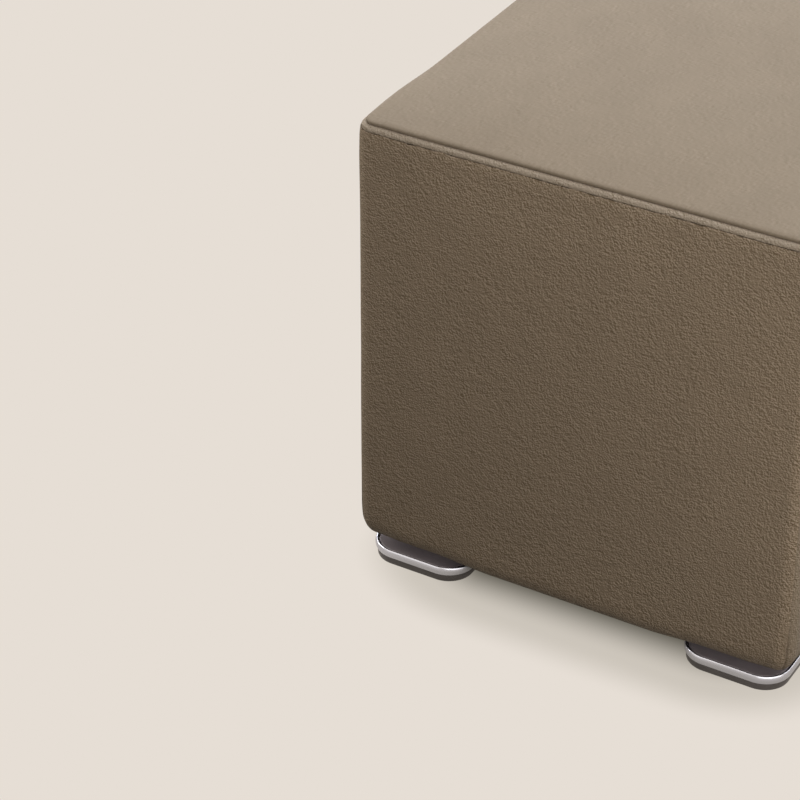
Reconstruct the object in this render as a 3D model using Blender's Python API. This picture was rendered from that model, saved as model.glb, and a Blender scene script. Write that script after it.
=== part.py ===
"""Cube pouf stool: a padded cube with a crowned top, a rolled welt round its edge and four low feet.

Metres, +Z up. The floor is z = 0, the origin is under the middle of the stool and the front face looks to -Y.
"""

import math

import bmesh
import bpy
from mathutils import Vector

# Overall sizes, in metres
BODY_WIDTH = 0.420  # over the upright corners, the same both ways
UNDERSIDE_Z = 0.024  # floor to the flat underside
SEAM_Z = 0.4375  # floor to the groove round the top panel, at the corners
CROWN_Z = 0.450  # floor to the middle of the top
CORNER_RADIUS = 0.0165  # upright corners of the body, seen from above
GAP = 0.0003  # left between pieces that touch

# How the cover is pulled: the seam round the top dips in and down between its corners
SEAM_PULL_IN = 0.0021
SEAM_PULL_DOWN = 0.0012
PULL_STARTS = 0.055  # from the corner along an edge
PULL_ENDS = 0.128
PULL_REACH = 0.070  # how far below the seam a side panel follows it
CORNER_PINCH = 0.0006  # the seam's corners, drawn in
PINCH_REACH = 0.030  # from the corner along an edge, and down the side

# Welt: a round strip let into the edge
WELT_RADIUS = 0.0039
WELT_INSET = 0.0047  # face plane to the welt's middle
WELT_DROP = 0.0041  # seam level to the welt's middle
WELT_BED = 0.0004  # room left round the welt

# Side panels
PANEL_THICKNESS = 0.025
PANEL_BULGE = 0.0025  # middle of a panel, out from the line between its corners
CORNER_DRAW = 0.0007  # upright corners, drawn in half way up
BOTTOM_ROLL = 0.014  # radius of the edge turned under
BOTTOM_SAG = 0.0018  # the bottom edge hangs this much lower between the feet
BOTTOM_BELLY = 0.0016  # and stands this much further out
SAG_STARTS = 0.075  # from the corner along an edge
SAG_ENDS = 0.135
SAG_REACH = 0.080  # how far above the underside it shows
CREASE_TURN = 30  # degrees below level where the panel meets the welt
TUCK_HEIGHT = 0.0070  # over which the panel tucks in towards it
UPRIGHT_SEAM_DEPTH = 0.0010

# Top panel
GROOVE_TURN = 40  # degrees above level where the top panel leaves the welt
PUFF_RUN = 0.0060  # the puffed edge, from the groove inwards
PUFF_RISE = 0.0048  # and upwards
PINCHED_SHARE = 0.45  # of the puff's height left at the corners

# Underside panel
UNDERSIDE_THICKNESS = 0.010
UNDERSIDE_EDGE = 0.0010

# Feet: a moulded core in a metal band
FOOT_WIDTH = 0.100
FOOT_RADIUS = 0.026
FOOT_INSET_FRONT = 0.003  # from the front and back face planes
FOOT_INSET_SIDE = 0.008  # from the left and right face planes
BASE_INSET = 0.0017  # face of the band to the base
BASE_DRAFT = 0.0005  # the base is this much smaller all round at its lower edge
BASE_EDGE = 0.0008  # its broken lower edge
BASE_TOP_Z = 0.0058
BAND_TOP_Z = 0.0143
BAND_WALL = 0.0024  # face of the band to its bore, at its widest
BAND_TAPER = 0.0013  # the band is this much smaller all round at its lower edge
BAND_EDGE = 0.0003  # its broken upper edge
CORE_RECESS = 0.0010  # rim of the band to the core's top
CORE_EDGE = 0.0004  # the core's broken upper edge
NECK_WIDTH = 0.048
NECK_RADIUS = 0.014

# Facets
ARC_TURNS = (45.0, 37.0, 20.0)  # degrees from square to the face, along half a corner
STRAIGHT_SHARES = (1.0, 0.93, 0.80, 0.60, 0.33)  # of half the straight part of an edge
ROLL_TURNS = (90, 66, 44, 22, 0)  # degrees round the edge turned under, from below
SIDE_SHARES = (0.10, 0.27, 0.50, 0.73, 0.90, 1.0)  # of the height from that roll to the tuck
TUCK_SHARES = (0.55, 0.85)
BED_TURNS = (60, 90)  # degrees below level, in under the welt
PUFF_TURNS = (22, 44, 66, 84)  # degrees up the puffed edge
DOME_SHARES = (0.90, 0.74, 0.52, 0.26)  # rings of the dome, of the puffed edge's outline
WELT_FACETS = 2
FOOT_FACETS = 5

# Worked out from the sizes above
HALF = BODY_WIDTH / 2
STRAIGHT = HALF - CORNER_RADIUS
PANEL_TOP_DROP = WELT_DROP + WELT_RADIUS + WELT_BED  # seam level to the top of a side panel
MITRE_GAP = GAP / math.sqrt(2)
BAND_BOTTOM_Z = BASE_TOP_Z + GAP
CORE_TOP_Z = BAND_TOP_Z - CORE_RECESS
FOOT_HALF = FOOT_WIDTH / 2
FOOT_X = HALF - FOOT_INSET_SIDE - FOOT_HALF
FOOT_Y = HALF - FOOT_INSET_FRONT - FOOT_HALF

# Colours (linear), one for each kind of piece
CLOTH_TOP = (0.330, 0.270, 0.206)
CLOTH_SIDE = (0.300, 0.245, 0.187)
CLOTH_WELT = (0.315, 0.258, 0.197)
UNDERSIDE_CLOTH = (0.045, 0.040, 0.035)
MOULDED_DARK = (0.050, 0.045, 0.042)
SATIN_METAL = (0.560, 0.545, 0.530)


def material(name, colour, roughness, metallic=0.0):
    """A plain Principled material."""
    made = bpy.data.materials.new(name)
    made.use_nodes = True
    shader = made.node_tree.nodes["Principled BSDF"]
    shader.inputs["Base Color"].default_value = (*colour, 1.0)
    shader.inputs["Roughness"].default_value = roughness
    shader.inputs["Metallic"].default_value = metallic
    return made


def place(name, data, finish, parent, location=(0, 0, 0), turn=0.0):
    """One named object, standing on its parent at a place and a turn about Z."""
    piece = bpy.data.objects.new(name, data)
    bpy.context.scene.collection.objects.link(piece)
    if not data.materials:
        data.materials.append(finish)
    piece.parent = parent
    piece.location = location
    piece.rotation_euler = (0, 0, turn)
    return piece


def finish_mesh(name, bm, sharp_degrees):
    """Turn every face outwards, shade the round parts smooth and hand back the mesh."""
    bmesh.ops.recalc_face_normals(bm, faces=bm.faces)
    mesh = bpy.data.meshes.new(name)
    bm.to_mesh(mesh)
    bm.free()
    mesh.shade_smooth()
    mesh.set_sharp_from_angle(angle=math.radians(sharp_degrees))
    return mesh


def smooth_step(share):
    """0 up to 0, 1 from 1 on, with a smooth ramp between them."""
    share = min(max(share, 0.0), 1.0)
    return share * share * (3 - 2 * share)


def seam_pull(x):
    """0 at the corners and 1 along the middle of an edge."""
    from_corner = HALF - abs(x)
    return smooth_step((from_corner - PULL_STARTS) / (PULL_ENDS - PULL_STARTS))


def corner_pinch(x):
    """1 at the corners, fading along an edge."""
    return 1 - smooth_step((STRAIGHT - abs(x)) / PINCH_REACH)


def bottom_sag(x):
    """0 over the feet and 1 along the middle of an edge."""
    from_corner = HALF - abs(x)
    return smooth_step((from_corner - SAG_STARTS) / (SAG_ENDS - SAG_STARTS))


def face_stations():
    """Stations along one face, corner seam to corner seam: the place (or the arc's centre) and the turn."""
    arc = [(STRAIGHT, math.radians(turn)) for turn in ARC_TURNS]
    line = [(share * STRAIGHT, 0.0) for share in STRAIGHT_SHARES]
    right = arc + line
    left = [(-x, -turn) for x, turn in right]
    return left + [(0.0, 0.0)] + right[::-1]


def outline_point(station, inset):
    """Along the face and out from the stool's middle, at one station, so far in from the face plane."""
    x, turn = station
    radius = CORNER_RADIUS - inset
    return x + radius * math.sin(turn), STRAIGHT + radius * math.cos(turn)


def body_ring(inset, z, dip=1.0):
    """A closed loop of points round the body, pulled in and, if it dips, down between the corners."""
    points = []
    for face in range(4):
        turn = math.radians(90 * face)
        for station in face_stations()[:-1]:
            pull = seam_pull(station[0])
            drawn_in = SEAM_PULL_IN * pull + CORNER_PINCH * corner_pinch(station[0])
            x, out = outline_point(station, inset + drawn_in)
            low = z - SEAM_PULL_DOWN * pull * dip
            across = x * math.cos(turn) + out * math.sin(turn)
            along = x * math.sin(turn) - out * math.cos(turn)
            points.append(Vector((across, along, low)))
    return points


def rounded_square(half, radius, z):
    """A closed loop of points: a square with round corners."""
    points = []
    for corner in range(4):
        middle = math.radians(45 + 90 * corner)
        centre = (half - radius) * math.sqrt(2)
        for step in range(FOOT_FACETS + 1):
            angle = middle + math.radians(90 * step / FOOT_FACETS - 45)
            x = centre * math.cos(middle) + radius * math.cos(angle)
            y = centre * math.sin(middle) + radius * math.sin(angle)
            points.append(Vector((x, y, z)))
    return points


def add_loop(bm, points):
    """Vertices on a loop of points."""
    return [bm.verts.new(point) for point in points]


def cap(bm, loop):
    """A fan of faces over a loop, from a point in its middle, which is handed back."""
    face = bm.faces.new(loop)
    return bmesh.ops.poke(bm, faces=[face])["verts"][0]


def skin(bm, loops, closed=False):
    """Four-sided faces from each loop to the next, and from the last to the first if the shape is closed."""
    following = loops[1:] + (loops[:1] if closed else [])
    for lower, upper in zip(loops, following):
        for step in range(len(lower)):
            bm.faces.new((lower[step - 1], lower[step], upper[step], upper[step - 1]))


def beside_welt(degrees):
    """Inset and height of a point in the bed round the welt: 0 is its inner side, 90 its top."""
    radius = WELT_RADIUS + WELT_BED
    angle = math.radians(degrees)
    return WELT_INSET + radius * math.cos(angle), SEAM_Z - WELT_DROP + radius * math.sin(angle)


def puffed(point):
    """Share of the puffed edge's height at a point: less towards the corners."""
    from_corner = HALF - min(abs(point.x), abs(point.y))
    return PINCHED_SHARE + (1 - PINCHED_SHARE) * smooth_step(from_corner / PINCH_REACH)


def top_panel_mesh():
    """The crowned top: a wall beside the welt, a puffed edge over it and a low dome."""
    bm = bmesh.new()
    wall_inset, wall_z = beside_welt(0)
    groove_inset, groove_z = beside_welt(GROOVE_TURN)
    rings = [
        body_ring(wall_inset, SEAM_Z - PANEL_TOP_DROP + GAP, dip=0.0),
        body_ring(wall_inset, wall_z),
        body_ring(*beside_welt(GROOVE_TURN / 2)),
        body_ring(groove_inset, groove_z),
    ]
    for degrees in PUFF_TURNS:
        angle = math.radians(degrees)
        ring = body_ring(groove_inset + PUFF_RUN * (1 - math.cos(angle)), groove_z)
        for point in ring:
            point.z += PUFF_RISE * math.sin(angle) * puffed(point)
        rings.append(ring)
    shoulder = rings[-1]
    reach = HALF - groove_inset - PUFF_RUN
    shoulder_z = groove_z + PUFF_RISE
    dome = CROWN_Z - shoulder_z
    for share in DOME_SHARES:
        ring = []
        for point in shoulder:
            x = point.x * share
            y = point.y * share
            low = (shoulder_z - point.z) * share * share
            rise = dome * (1 - (x / reach) ** 2) * (1 - (y / reach) ** 2)
            ring.append(Vector((x, y, shoulder_z - low + rise)))
        rings.append(ring)
    loops = [add_loop(bm, ring) for ring in rings]
    skin(bm, loops)
    cap(bm, loops[0])
    cap(bm, loops[-1]).co.z = CROWN_Z
    return finish_mesh("top_panel", bm, 60)


def welt_curve():
    """The welt: a round strip on a closed path that follows the seam."""
    curve = bpy.data.curves.new("edge_welt", "CURVE")
    curve.dimensions = "3D"
    curve.twist_mode = "Z_UP"
    curve.bevel_depth = WELT_RADIUS
    curve.bevel_resolution = WELT_FACETS
    path = body_ring(WELT_INSET, SEAM_Z - WELT_DROP)
    spline = curve.splines.new("POLY")
    spline.points.add(len(path) - 1)
    for point, at in zip(spline.points, path):
        point.co = (*at, 1.0)
    spline.use_cyclic_u = True
    spline.use_smooth = True
    return curve


def side_profile():
    """A side panel's face from under the edge up to the welt and in under it: inset and height."""
    rows = []
    for degrees in ROLL_TURNS:
        angle = math.radians(degrees)
        inset = BOTTOM_ROLL * (1 - math.cos(angle))
        rows.append((inset, UNDERSIDE_Z + BOTTOM_ROLL * (1 - math.sin(angle))))
    foot = rows[-1][1]
    crease_inset, crease = beside_welt(180 + CREASE_TURN)
    tuck = crease - TUCK_HEIGHT
    for share in SIDE_SHARES:
        rows.append((0.0, foot + (tuck - foot) * share))
    for share in TUCK_SHARES:
        rows.append((crease_inset * share**3, tuck + TUCK_HEIGHT * share))
    rows.append((crease_inset, crease))
    for degrees in BED_TURNS:
        rows.append(beside_welt(180 + degrees))
    return rows


def side_point(profile, station):
    """One point of a side panel's face, in the front panel's place."""
    inset, z = profile
    x, turn = station
    crease = SEAM_Z - PANEL_TOP_DROP
    level = min(max(2 * (z - UNDERSIDE_Z) / (crease - UNDERSIDE_Z) - 1, -1.0), 1.0)
    across = abs(x) / STRAIGHT
    bulge = PANEL_BULGE * (1 - across**3) * (1 - abs(level) ** 3)
    draw = CORNER_DRAW * across**6 * (1 - level**2)
    pull = seam_pull(x) * smooth_step(1 - (crease - z) / PULL_REACH)
    sag = bottom_sag(x) * smooth_step(1 - (z - UNDERSIDE_Z) / SAG_REACH)
    at_seam = abs(turn) > math.radians(ARC_TURNS[1] + 1)
    dip = UPRIGHT_SEAM_DEPTH * smooth_step((crease - z) / TUCK_HEIGHT) if at_seam else 0.0
    pinch = corner_pinch(x) * smooth_step(1 - (crease - z) / PINCH_REACH)
    drawn_in = draw + dip + SEAM_PULL_IN * pull + CORNER_PINCH * pinch
    drawn_in -= bulge + BOTTOM_BELLY * sag
    x, out = outline_point(station, inset + drawn_in)
    if at_seam:
        x -= math.copysign(MITRE_GAP, x)
    return Vector((x, -out, z - SEAM_PULL_DOWN * pull - BOTTOM_SAG * sag))


def side_panel_mesh():
    """A padded side panel: a shaped face, mitred sides and a flat back."""
    bm = bmesh.new()
    profile = side_profile()
    stations = face_stations()
    across = len(stations) - 1
    up = len(profile) - 1
    bmesh.ops.create_grid(bm, x_segments=across, y_segments=up, size=1.0)
    for corner in bm.verts:
        column = round((corner.co.x + 1) / 2 * across)
        row = round((corner.co.y + 1) / 2 * up)
        corner.co = side_point(profile[row], stations[column])
    rim = [edge for edge in bm.edges if edge.is_boundary]
    back = bmesh.ops.extrude_edge_only(bm, edges=rim)["geom"]
    half_back = HALF - PANEL_THICKNESS
    middle_z = (UNDERSIDE_Z + SEAM_Z) / 2
    top_z = SEAM_Z - PANEL_TOP_DROP - SEAM_PULL_DOWN
    for corner in back:
        if isinstance(corner, bmesh.types.BMVert):
            side = 1 if corner.co.x > 0 else -1
            z = top_z if corner.co.z > middle_z else UNDERSIDE_Z
            corner.co = (side * (half_back - MITRE_GAP), -half_back, z)
    bmesh.ops.remove_doubles(bm, verts=bm.verts, dist=0.00001)
    bmesh.ops.contextual_create(bm, geom=[edge for edge in bm.edges if edge.is_boundary])
    return finish_mesh("side_panel", bm, 45)


def underside_mesh():
    """A flat square plate inside the four side panels, its edges broken."""
    bm = bmesh.new()
    bmesh.ops.create_cube(bm, size=1.0)
    width = 2 * (HALF - PANEL_THICKNESS - GAP)
    bmesh.ops.scale(bm, vec=(width, width, UNDERSIDE_THICKNESS), verts=bm.verts)
    bmesh.ops.bevel(bm, geom=bm.edges[:], offset=UNDERSIDE_EDGE, segments=1, affect="EDGES")
    return finish_mesh("underside_panel", bm, 30)


def foot_loops(bm, profile):
    """Rounded square loops of one foot, from pairs of inset and height."""
    loops = []
    for inset, z in profile:
        loops.append(add_loop(bm, rounded_square(FOOT_HALF - inset, FOOT_RADIUS - inset, z)))
    return loops


def foot_core_mesh():
    """The moulded core: a base, the block inside the band and a short neck up to the underside."""
    bm = bmesh.new()
    block_inset = BAND_WALL + GAP
    loops = foot_loops(
        bm,
        (
            (BASE_INSET + BASE_DRAFT + BASE_EDGE, 0.0),
            (BASE_INSET + BASE_DRAFT, BASE_EDGE),
            (BASE_INSET, BASE_TOP_Z),
            (block_inset, BASE_TOP_Z),
            (block_inset, CORE_TOP_Z - CORE_EDGE),
            (block_inset + CORE_EDGE, CORE_TOP_Z),
        ),
    )
    neck_top = UNDERSIDE_Z - GAP
    for z in (CORE_TOP_Z, neck_top):
        loops.append(add_loop(bm, rounded_square(NECK_WIDTH / 2, NECK_RADIUS, z)))
    skin(bm, loops)
    cap(bm, loops[0])
    cap(bm, loops[-1])
    return finish_mesh("foot_core", bm, 30)


def foot_band_mesh():
    """The metal band: a sleeve with a flat bright rim, drawn in towards its lower edge."""
    bm = bmesh.new()
    height = BAND_TOP_Z - BAND_BOTTOM_Z
    loops = foot_loops(
        bm,
        (
            (BAND_WALL, BAND_BOTTOM_Z),
            (BAND_TAPER, BAND_BOTTOM_Z),
            (BAND_TAPER * 0.30, BAND_BOTTOM_Z + height * 0.40),
            (0.0, BAND_BOTTOM_Z + height * 0.75),
            (BAND_EDGE, BAND_TOP_Z),
            (BAND_WALL, BAND_TOP_Z),
        ),
    )
    skin(bm, loops, closed=True)
    return finish_mesh("foot_band", bm, 40)


def clear_scene():
    """Start from nothing."""
    for old in list(bpy.data.objects):
        bpy.data.objects.remove(old, do_unlink=True)


def build():
    """Every piece, on one empty at the origin."""
    clear_scene()
    stool = bpy.data.objects.new("pouf_stool", None)
    bpy.context.scene.collection.objects.link(stool)

    place("top_panel", top_panel_mesh(), material("top_cloth", CLOTH_TOP, 0.90), stool)
    place("edge_welt", welt_curve(), material("welt_cloth", CLOTH_WELT, 0.90), stool)

    side_mesh = side_panel_mesh()
    side_cloth = material("side_cloth", CLOTH_SIDE, 0.92)
    for face, name in enumerate(("front", "right", "back", "left")):
        place(f"{name}_panel", side_mesh, side_cloth, stool, turn=math.radians(90 * face))

    under_cloth = material("underside_cloth", UNDERSIDE_CLOTH, 0.95)
    under_middle = (0, 0, UNDERSIDE_Z + UNDERSIDE_THICKNESS / 2)
    place("underside_panel", underside_mesh(), under_cloth, stool, under_middle)

    core_mesh = foot_core_mesh()
    band_mesh = foot_band_mesh()
    dark = material("moulded_plastic", MOULDED_DARK, 0.45)
    metal = material("satin_metal", SATIN_METAL, 0.30, metallic=1.0)
    for end, y in (("front", -FOOT_Y), ("back", FOOT_Y)):
        for side, x in (("left", -FOOT_X), ("right", FOOT_X)):
            name = f"foot_{end}_{side}"
            place(f"{name}_core", core_mesh, dark, stool, (x, y, 0))
            place(f"{name}_band", band_mesh, metal, stool, (x, y, 0))


build()
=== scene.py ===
import math

import bmesh
import bpy
import numpy as np
from mathutils import Matrix, Vector


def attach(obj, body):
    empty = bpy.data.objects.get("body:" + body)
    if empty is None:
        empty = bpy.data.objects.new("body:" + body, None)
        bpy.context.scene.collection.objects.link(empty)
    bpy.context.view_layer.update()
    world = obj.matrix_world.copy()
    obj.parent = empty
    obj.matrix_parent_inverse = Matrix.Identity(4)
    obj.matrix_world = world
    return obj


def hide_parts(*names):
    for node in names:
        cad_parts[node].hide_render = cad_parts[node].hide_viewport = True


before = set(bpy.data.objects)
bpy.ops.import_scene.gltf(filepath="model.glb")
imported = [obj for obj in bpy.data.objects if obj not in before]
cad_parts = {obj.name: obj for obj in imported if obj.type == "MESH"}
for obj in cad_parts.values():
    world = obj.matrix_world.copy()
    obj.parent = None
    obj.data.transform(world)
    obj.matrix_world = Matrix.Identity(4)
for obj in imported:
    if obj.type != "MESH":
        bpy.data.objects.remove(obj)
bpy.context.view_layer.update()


# ---- Underside -------------------------------------------------------------------------------
# A flat board inside the four side panels, closed with a dark bonded dust cloth. The photo hides
# it, so it keeps its plain CAD shape and gets the cloth's matt, faintly fibrous finish.

DUST_CLOTH = (0.045, 0.040, 0.035)
DUST_CLOTH_WORN = (0.070, 0.063, 0.055)
DUST_FIBRE = 900.0  # noise cells to the metre, for the fibres
DUST_RUBBED = 14.0  # and for the paler rubbed areas
DUST_DEPTH = 0.0004


def new_material(name, roughness, metallic=0.0):
    """A material and its Principled shader, with the values that are the same all over."""
    made = bpy.data.materials.new(name)
    made.use_nodes = True
    shader = made.node_tree.nodes["Principled BSDF"]
    shader.inputs["Roughness"].default_value = roughness
    shader.inputs["Metallic"].default_value = metallic
    return made, made.node_tree, shader


def add_node(tree, kind, inputs=(), **settings):
    """A node with its settings, and its inputs by name or number: values, or sockets to link from."""
    node = tree.nodes.new(kind)
    for name, value in settings.items():
        setattr(node, name, value)
    for key, value in dict(inputs).items():
        if isinstance(value, bpy.types.NodeSocket):
            tree.links.new(value, node.inputs[key])
        else:
            node.inputs[key].default_value = value
    return node


def object_coordinates(tree):
    """The point in the object's own space."""
    return tree.nodes.new("ShaderNodeTexCoord").outputs["Object"]


def blend_colours(tree, share, first, second):
    """A colour between two, by a share from 0 to 1."""
    mix = add_node(tree, "ShaderNodeMix", data_type="RGBA")
    tree.links.new(share, mix.inputs["Factor"])
    for socket, colour in ((mix.inputs[6], first), (mix.inputs[7], second)):
        if isinstance(colour, bpy.types.NodeSocket):
            tree.links.new(colour, socket)
        else:
            socket.default_value = (*colour, 1.0)
    return mix.outputs[2]


def dust_cloth():
    """Dark bonded fibre: short crossing fibres as a fine two-way noise, a little paler where rubbed."""
    made, tree, shader = new_material("bonded dust cloth", 0.95)
    at = object_coordinates(tree)
    fibre = add_node(tree, "ShaderNodeTexNoise", {"Vector": at, "Scale": DUST_FIBRE, "Detail": 4.0})
    rubbed = add_node(tree, "ShaderNodeTexNoise", {"Vector": at, "Scale": DUST_RUBBED, "Detail": 3.0})
    colour = blend_colours(tree, rubbed.outputs["Fac"], DUST_CLOTH, DUST_CLOTH_WORN)
    tree.links.new(colour, shader.inputs["Base Color"])
    bump = add_node(tree, "ShaderNodeBump", {"Height": fibre.outputs["Fac"], "Distance": DUST_DEPTH})
    tree.links.new(bump.outputs["Normal"], shader.inputs["Normal"])
    return made


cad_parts["underside_panel"].data.materials.clear()
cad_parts["underside_panel"].data.materials.append(dust_cloth())


# ---- Feet: moulded cores ---------------------------------------------------------------------
# Four low pads of dark moulded plastic with rounded square outlines. Each has a base that stands
# on the floor, a block inside the metal band with a dished top, and a short neck to the underside.

FOOT_WIDTH = 0.098
FOOT_RADIUS = 0.026  # corners, seen from above
CORNER_STEPS = 14  # along a quarter turn
SIDE_STEPS = 6  # along a straight side
# Profile from the middle of the sole to the middle of the neck: inset from the outline, height
CORE_PROFILE = (
    (0.0036, 0.0),
    (0.0030, 0.0),
    (0.0026, 0.0002),
    (0.0023, 0.0008),
    (0.0020, 0.0036),
    (0.0018, 0.0062),
    (0.0019, 0.0068),
    (0.0022, 0.0070),
    (0.0027, 0.0070),
    (0.0027, 0.0122),
    (0.0037, 0.0122),
    (0.0040, 0.0140),
    (0.0045, 0.0144),
    (0.0053, 0.0144),
    (0.0068, 0.0140),
    (0.0092, 0.0138),
    (0.0180, 0.0138),
)
NECK_PROFILE = ((0.0, 0.0138), (-0.0004, 0.0149), (0.0, 0.0237))
NECK_WIDTH = 0.048
NECK_RADIUS = 0.014
# Middle of each foot. The photo shows the front right one set a little further back than the left.
FOOT_PLACES = {
    "front_left": (-0.1524, -0.1594),
    "front_right": (0.1530, -0.1574),
    "back_left": (-0.1524, 0.1584),
    "back_right": (0.1524, 0.1584),
}
MOULDED = (0.082, 0.069, 0.062)
MOULDED_SCUFFED = (0.112, 0.096, 0.088)
# Painted light: the core's top is made much paler than the rest, standing in for the light that the stool's
# body above keeps off it.
MOULDED_TOP_PAINTED_LIGHT = (0.30, 0.25, 0.255)
PAINTED_LIGHT_TOP_HEIGHTS = (0.0126, 0.0134)  # between these heights the paler top, which is painted light, takes over
MOULDED_GRAIN = 2600.0
MOULDED_SCUFFS = 60.0


def rounded_outline(half, radius, corner_steps, side_steps):
    """Corner centres and outward directions round a square with round corners.

    Each quarter turn has evenly spaced directions about its corner's centre. Along the straight
    side after it the direction stays and the centre slides to the next corner.
    """
    turn = np.linspace(0, math.pi / 2, corner_steps + 1)
    slide = np.linspace(0, 1, side_steps + 1)[1:-1]
    reach = half - radius
    centres, directions = [], []
    for quarter in range(4):
        angle = turn + quarter * math.pi / 2
        start = reach * np.array([(1, 1), (-1, 1), (-1, -1), (1, -1)][quarter])
        end = reach * np.array([(-1, 1), (-1, -1), (1, -1), (1, 1)][quarter])
        arc = np.stack([np.cos(angle), np.sin(angle)], axis=1)
        centres += [np.tile(start, (len(turn), 1)), start + slide[:, None] * (end - start)]
        directions += [arc, np.tile(arc[-1], (len(slide), 1))]
    return np.concatenate(centres), np.concatenate(directions)


def swept_loops(half, radius, profile, corner_steps, side_steps):
    """Points of a profile carried round a rounded square: corner centre + (radius - inset) * direction."""
    centres, directions = rounded_outline(half, radius, corner_steps, side_steps)
    inset, height = np.array(profile).T
    flat = centres[None] + (radius - inset)[:, None, None] * directions[None]
    level = np.broadcast_to(height[:, None, None], (*flat.shape[:2], 1))
    return np.concatenate([flat, level], axis=2)


def grid_quads(rows, columns, wrap_rows=False, wrap_columns=True):
    """Four-sided faces of a grid of points numbered row by row, wrapped round where it closes."""
    row = np.arange(rows if wrap_rows else rows - 1)[:, None]
    column = np.arange(columns if wrap_columns else columns - 1)[None]
    next_row, next_column = (row + 1) % rows, (column + 1) % columns
    corners = [
        row * columns + column,
        row * columns + next_column,
        next_row * columns + next_column,
        next_row * columns + column,
    ]
    return np.stack(np.broadcast_arrays(*corners), axis=-1).reshape(-1, 4)


def new_piece(name, points, quads, material, caps=(), sharp_degrees=50):
    """A mesh object at the origin with smooth faces that point outwards, its hard edges kept sharp."""
    mesh = bpy.data.meshes.new(name)
    mesh.from_pydata(points.reshape(-1, 3).tolist(), [], quads.tolist() + [list(cap) for cap in caps])
    bm = bmesh.new()
    bm.from_mesh(mesh)
    bmesh.ops.recalc_face_normals(bm, faces=bm.faces)
    bm.to_mesh(mesh)
    bm.free()
    mesh.shade_smooth()
    mesh.set_sharp_from_angle(angle=math.radians(sharp_degrees))
    mesh.materials.append(material)
    piece = bpy.data.objects.new(name, mesh)
    bpy.context.scene.collection.objects.link(piece)
    return piece


def moulded_plastic():
    """Satin moulded plastic: a fine spark-eroded grain, a few paler scuffs, uneven gloss, and painted light
    that makes its top paler.
    """
    made, tree, shader = new_material("moulded plastic", 0.46)
    at = object_coordinates(tree)
    grain = add_node(tree, "ShaderNodeTexNoise", {"Vector": at, "Scale": MOULDED_GRAIN, "Detail": 2.0})
    scuff = add_node(tree, "ShaderNodeTexNoise", {"Vector": at, "Scale": MOULDED_SCUFFS, "Detail": 5.0})
    worn = add_node(
        tree,
        "ShaderNodeMapRange",
        {"Value": scuff.outputs["Fac"], "From Min": 0.52, "From Max": 0.74},
    )
    colour = blend_colours(tree, worn.outputs["Result"], MOULDED, MOULDED_SCUFFED)
    # Painted light: above these heights the top turns paler.
    height = add_node(tree, "ShaderNodeSeparateXYZ", {0: at}).outputs["Z"]
    upper = add_node(
        tree,
        "ShaderNodeMapRange",
        {"Value": height, "From Min": PAINTED_LIGHT_TOP_HEIGHTS[0], "From Max": PAINTED_LIGHT_TOP_HEIGHTS[1]},
    )
    colour = blend_colours(tree, upper.outputs["Result"], colour, MOULDED_TOP_PAINTED_LIGHT)
    tree.links.new(colour, shader.inputs["Base Color"])
    gloss = add_node(
        tree,
        "ShaderNodeMapRange",
        {"Value": scuff.outputs["Fac"], "To Min": 0.38, "To Max": 0.56},
    )
    tree.links.new(gloss.outputs["Result"], shader.inputs["Roughness"])
    bump = add_node(tree, "ShaderNodeBump", {"Height": grain.outputs["Fac"], "Distance": 0.00008})
    tree.links.new(bump.outputs["Normal"], shader.inputs["Normal"])
    return made


core_material = moulded_plastic()
for foot, (middle_x, middle_y) in FOOT_PLACES.items():
    block = swept_loops(FOOT_WIDTH / 2, FOOT_RADIUS, CORE_PROFILE, CORNER_STEPS, SIDE_STEPS)
    neck = swept_loops(NECK_WIDTH / 2, NECK_RADIUS, NECK_PROFILE, CORNER_STEPS, SIDE_STEPS)
    loops = np.concatenate([block, neck]) + np.array([middle_x, middle_y, 0.0])
    rows, columns = loops.shape[:2]
    ends = (range(columns), range((rows - 1) * columns, rows * columns))
    node = f"foot_{foot}_core"
    core = new_piece(f"{node}_moulded", loops, grid_quads(rows, columns), core_material, ends, 35)
    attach(core, "root")
    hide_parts(node)


# ---- Feet: metal bands -----------------------------------------------------------------------
# A formed sleeve of satin metal round each core. Its upper edge is rolled to a bright rim and its
# face is drawn in towards the base, with fine brushing that runs round the foot.

# Closed profile, up the bore and down the face: inset from the outline, height
BAND_PROFILE = (
    (0.0024, 0.0073),
    (0.0024, 0.0150),
    (0.0022, 0.0154),
    (0.0018, 0.0155),
    (0.0015, 0.0155),
    (0.0011, 0.0153),
    (0.0007, 0.0148),
    (0.0004, 0.0141),
    (0.00015, 0.0131),
    (0.0000, 0.0119),
    (0.00005, 0.0109),
    (0.0002, 0.0099),
    (0.0005, 0.0089),
    (0.0009, 0.0080),
    (0.0013, 0.0074),
    (0.0016, 0.0073),
)
BAND_METAL = (0.53, 0.53, 0.57)
BAND_METAL_DULL = (0.47, 0.47, 0.51)


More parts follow.
